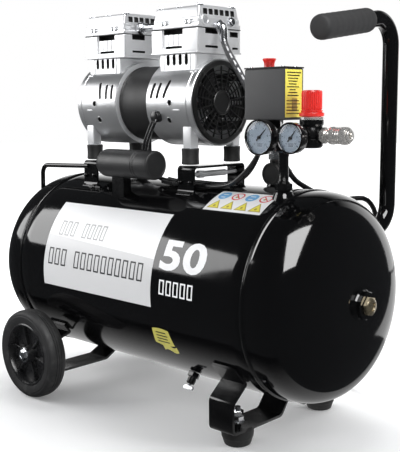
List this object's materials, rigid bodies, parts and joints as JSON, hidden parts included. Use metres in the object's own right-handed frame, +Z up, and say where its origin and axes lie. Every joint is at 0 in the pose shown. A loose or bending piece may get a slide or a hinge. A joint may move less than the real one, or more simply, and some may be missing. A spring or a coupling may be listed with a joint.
{
  "type": "portable air compressor",
  "caption": "Wheeled horizontal-tank air compressor with a twin-head oil-free electric pump, pressure switch, gauges, regulator, quick coupler and pull handle",
  "frame": {"origin": "middle of the object in plan, on the floor, leaving out the free mains lead", "axes": "+Z up, +X along the tank towards the outlet and handle end, -Y is the front with the label"},
  "size_m": [0.7128, 0.526, 0.645],
  "materials": {
    "tank_black": "gloss",
    "cast_alloy": "satin",
    "black_plastic": "matte",
    "grey_plastic": "matte",
    "red_plastic": "gloss",
    "rubber": "matte",
    "tyre": "matte",
    "zinc_steel": "satin",
    "chrome": "polished",
    "brass": "satin",
    "dial": "satin",
    "black_steel": "gloss",
    "lead": "matte"
  },
  "bodies": {
    "frame_body": {"tank_head_outlet_end": "tank_black", "tank_head_wheel_end": "tank_black", "fan_cover_outlet_end": "black_plastic", "fan_cover_wheel_end": "black_plastic", "crankcase_outlet_end": "cast_alloy", "crankcase_wheel_end": "cast_alloy", "mains_lead": "lead", "discharge_hose": "zinc_steel", "tank_shell": "tank_black", "check_valve": "black_plastic", "mains_lead_coil": "lead", "outlet_pillar": "black_steel", "cylinder_head_outlet_end": "cast_alloy", "motor_lead": "lead", "pressure_switch_body": "grey_plastic", "regulator_body": "black_plastic", "handle_tube": "black_steel", "start_capacitor": "grey_plastic", "gauge_tank": "dial", "gauge_outlet": "dial", "cylinder_head_wheel_end": "cast_alloy", "cylinder_block_outlet_end": "cast_alloy", "cylinder_block_wheel_end": "cast_alloy", "stator_housing": "black_plastic", "capacitor_lead": "lead", "rubber_foot_front": "rubber", "rubber_foot_rear": "rubber", "handle_grip": "rubber", "coupler_body": "chrome", "mains_plug": "lead", "mount_bracket_wheel_end": "black_steel", "axle_bolt_front": "zinc_steel", "axle_bolt_rear": "zinc_steel", "drain_valve_body": "brass", "head_link_pipe": "zinc_steel", "foot_leg_front": "black_steel", "wheel_leg_front": "black_steel", "foot_leg_rear": "black_steel", "wheel_leg_rear": "black_steel", "tank_end_plug": "brass", "rubber_mount_outlet_end_front": "rubber", "rubber_mount_outlet_end_rear": "rubber", "rubber_mount_wheel_end_front": "rubber", "rubber_mount_wheel_end_rear": "rubber", "mount_bracket_outlet_end": "black_steel"},
    "wheel_front": {"tyre_front": "tyre", "wheel_rim_front": "black_plastic"},
    "wheel_rear": {"tyre_rear": "tyre", "wheel_rim_rear": "black_plastic"},
    "rotor": {"motor_shaft": "zinc_steel", "cooling_fan_outlet_end": "grey_plastic", "cooling_fan_wheel_end": "grey_plastic"},
    "piston_assembly_outlet_end": {"piston_outlet_end": "cast_alloy"},
    "piston_assembly_wheel_end": {"piston_wheel_end": "cast_alloy"},
    "drain_key": {"drain_valve_key": "zinc_steel"},
    "switch_button": {"switch_knob": "red_plastic"},
    "regulator_handwheel": {"regulator_knob": "red_plastic"},
    "coupler_collar": {"coupler_sleeve": "chrome"},
    "needle_tank": {"gauge_needle_tank": "black_plastic"},
    "needle_outlet": {"gauge_needle_outlet": "black_plastic"}
  },
  "joints": [
    {"name": "wheel_spin_front", "type": "hinge", "parent": "frame_body", "child": "wheel_front", "pos_m": [-0.2011, -0.18, 0.075], "axis": [0, 1, 0], "continuous": true},
    {"name": "wheel_spin_rear", "type": "hinge", "parent": "frame_body", "child": "wheel_rear", "pos_m": [-0.2011, 0.18, 0.075], "axis": [0, 1, 0], "continuous": true},
    {"name": "rotor_spin", "type": "hinge", "parent": "frame_body", "child": "rotor", "pos_m": [-0.0656, 0, 0.495], "axis": [1, 0, 0], "continuous": true},
    {"name": "piston_stroke_outlet_end", "type": "slide", "parent": "frame_body", "child": "piston_assembly_outlet_end", "axis": [0, 0, 1], "range_m": [-0.007, 0.007]},
    {"name": "piston_stroke_wheel_end", "type": "slide", "parent": "frame_body", "child": "piston_assembly_wheel_end", "axis": [0, 0, 1], "range_m": [-0.007, 0.007]},
    {"name": "drain_key_turn", "type": "hinge", "parent": "frame_body", "child": "drain_key", "pos_m": [0.0944, -0.10066, 0.06278], "axis": [0, -0.5592, -0.829], "range_deg": [-90, 270]},
    {"name": "switch_button_pull", "type": "slide", "parent": "frame_body", "child": "switch_button", "axis": [0, 0, 1], "range_m": [0, 0.008]},
    {"name": "regulator_knob_turn", "type": "hinge", "parent": "frame_body", "child": "regulator_handwheel", "pos_m": [0.2789, -0.043, 0.497], "axis": [0, 0, 1], "range_deg": [-720, 720]},
    {"name": "coupler_sleeve_pull", "type": "slide", "parent": "frame_body", "child": "coupler_collar", "axis": [1, 0, 0], "range_m": [-0.005, 0], "stiffness_N_per_m": 1500},
    {"name": "gauge_needle_tank_swing", "type": "hinge", "parent": "frame_body", "child": "needle_tank", "pos_m": [0.2189, -0.084, 0.446], "axis": [0, 1, 0], "range_deg": [-180, 90]},
    {"name": "gauge_needle_outlet_swing", "type": "hinge", "parent": "frame_body", "child": "needle_outlet", "pos_m": [0.2749, -0.086, 0.446], "axis": [0, 1, 0], "range_deg": [-175, 95]}
  ]
}
